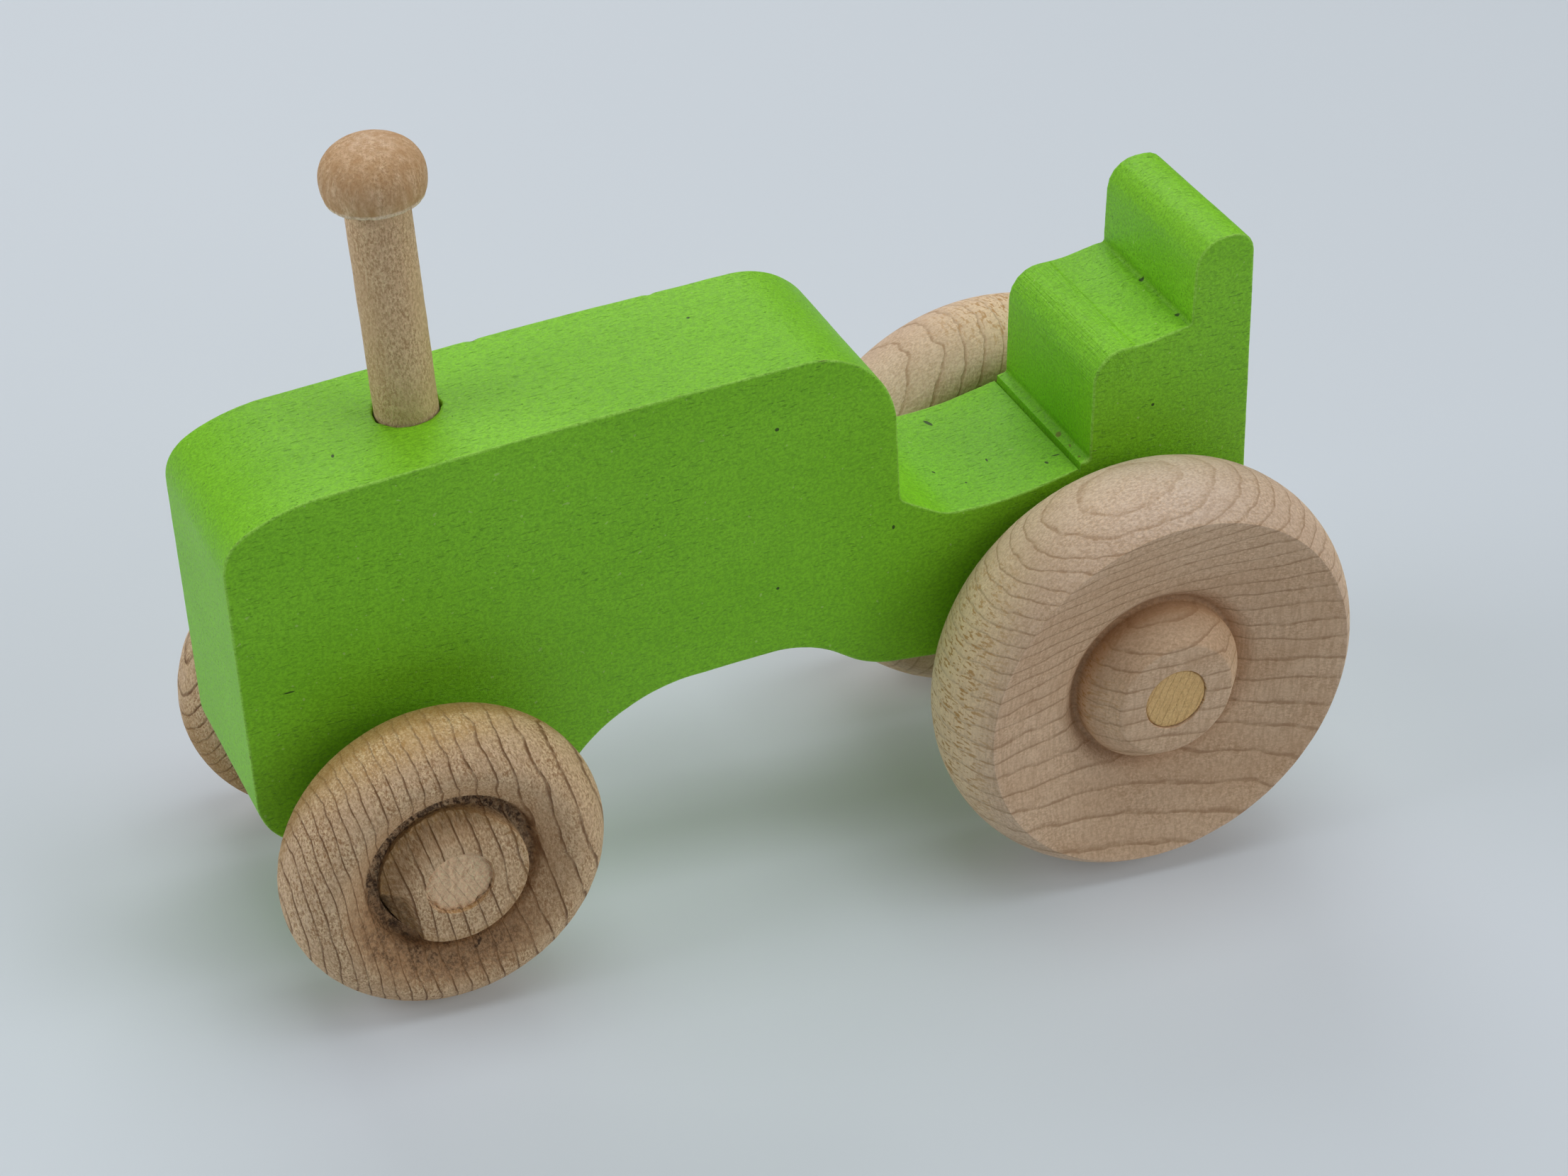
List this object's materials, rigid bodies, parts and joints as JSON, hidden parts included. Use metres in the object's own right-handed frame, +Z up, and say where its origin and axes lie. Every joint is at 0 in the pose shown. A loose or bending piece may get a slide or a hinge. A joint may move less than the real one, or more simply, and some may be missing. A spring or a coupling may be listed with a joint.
{
  "type": "toy tractor",
  "caption": "Wooden toy tractor: sawn and painted board body with cockpit and seat, mushroom-capped smokestack peg, and turned wheels on rolling dowel axles.",
  "frame": {"origin": "on the ground under the middle of the toy's bounding box", "axes": "+X towards the nose, +Y to the driver's left along the axles, +Z up; the wheels stand on Z = 0"},
  "size_m": [0.162, 0.069, 0.1158],
  "materials": {
    "green_paint": "satin green paint on wood",
    "rear_wheel_wood": "unfinished turned maple",
    "front_wheel_wood": "unfinished turned maple, rougher",
    "rear_dowel_wood": "unfinished birch dowel",
    "front_dowel_wood": "unfinished birch dowel",
    "peg_wood": "unfinished turned birch"
  },
  "bodies": {
    "chassis": {"body": "green_paint", "smokestack_peg": "peg_wood"},
    "rear_wheels": {"rear_axle": "rear_dowel_wood", "rear_wheel_left": "rear_wheel_wood", "rear_wheel_right": "rear_wheel_wood"},
    "front_wheels": {"front_axle": "front_dowel_wood", "front_wheel_left": "front_wheel_wood", "front_wheel_right": "front_wheel_wood"}
  },
  "joints": [
    {"name": "rear_axle_roll", "type": "hinge", "parent": "chassis", "child": "rear_wheels", "pos_m": [-0.04925, 0, 0.03175], "axis": [0, 1, 0], "continuous": true},
    {"name": "front_axle_roll", "type": "hinge", "parent": "chassis", "child": "front_wheels", "pos_m": [0.05465, 0, 0.0224], "axis": [0, 1, 0], "continuous": true}
  ]
}
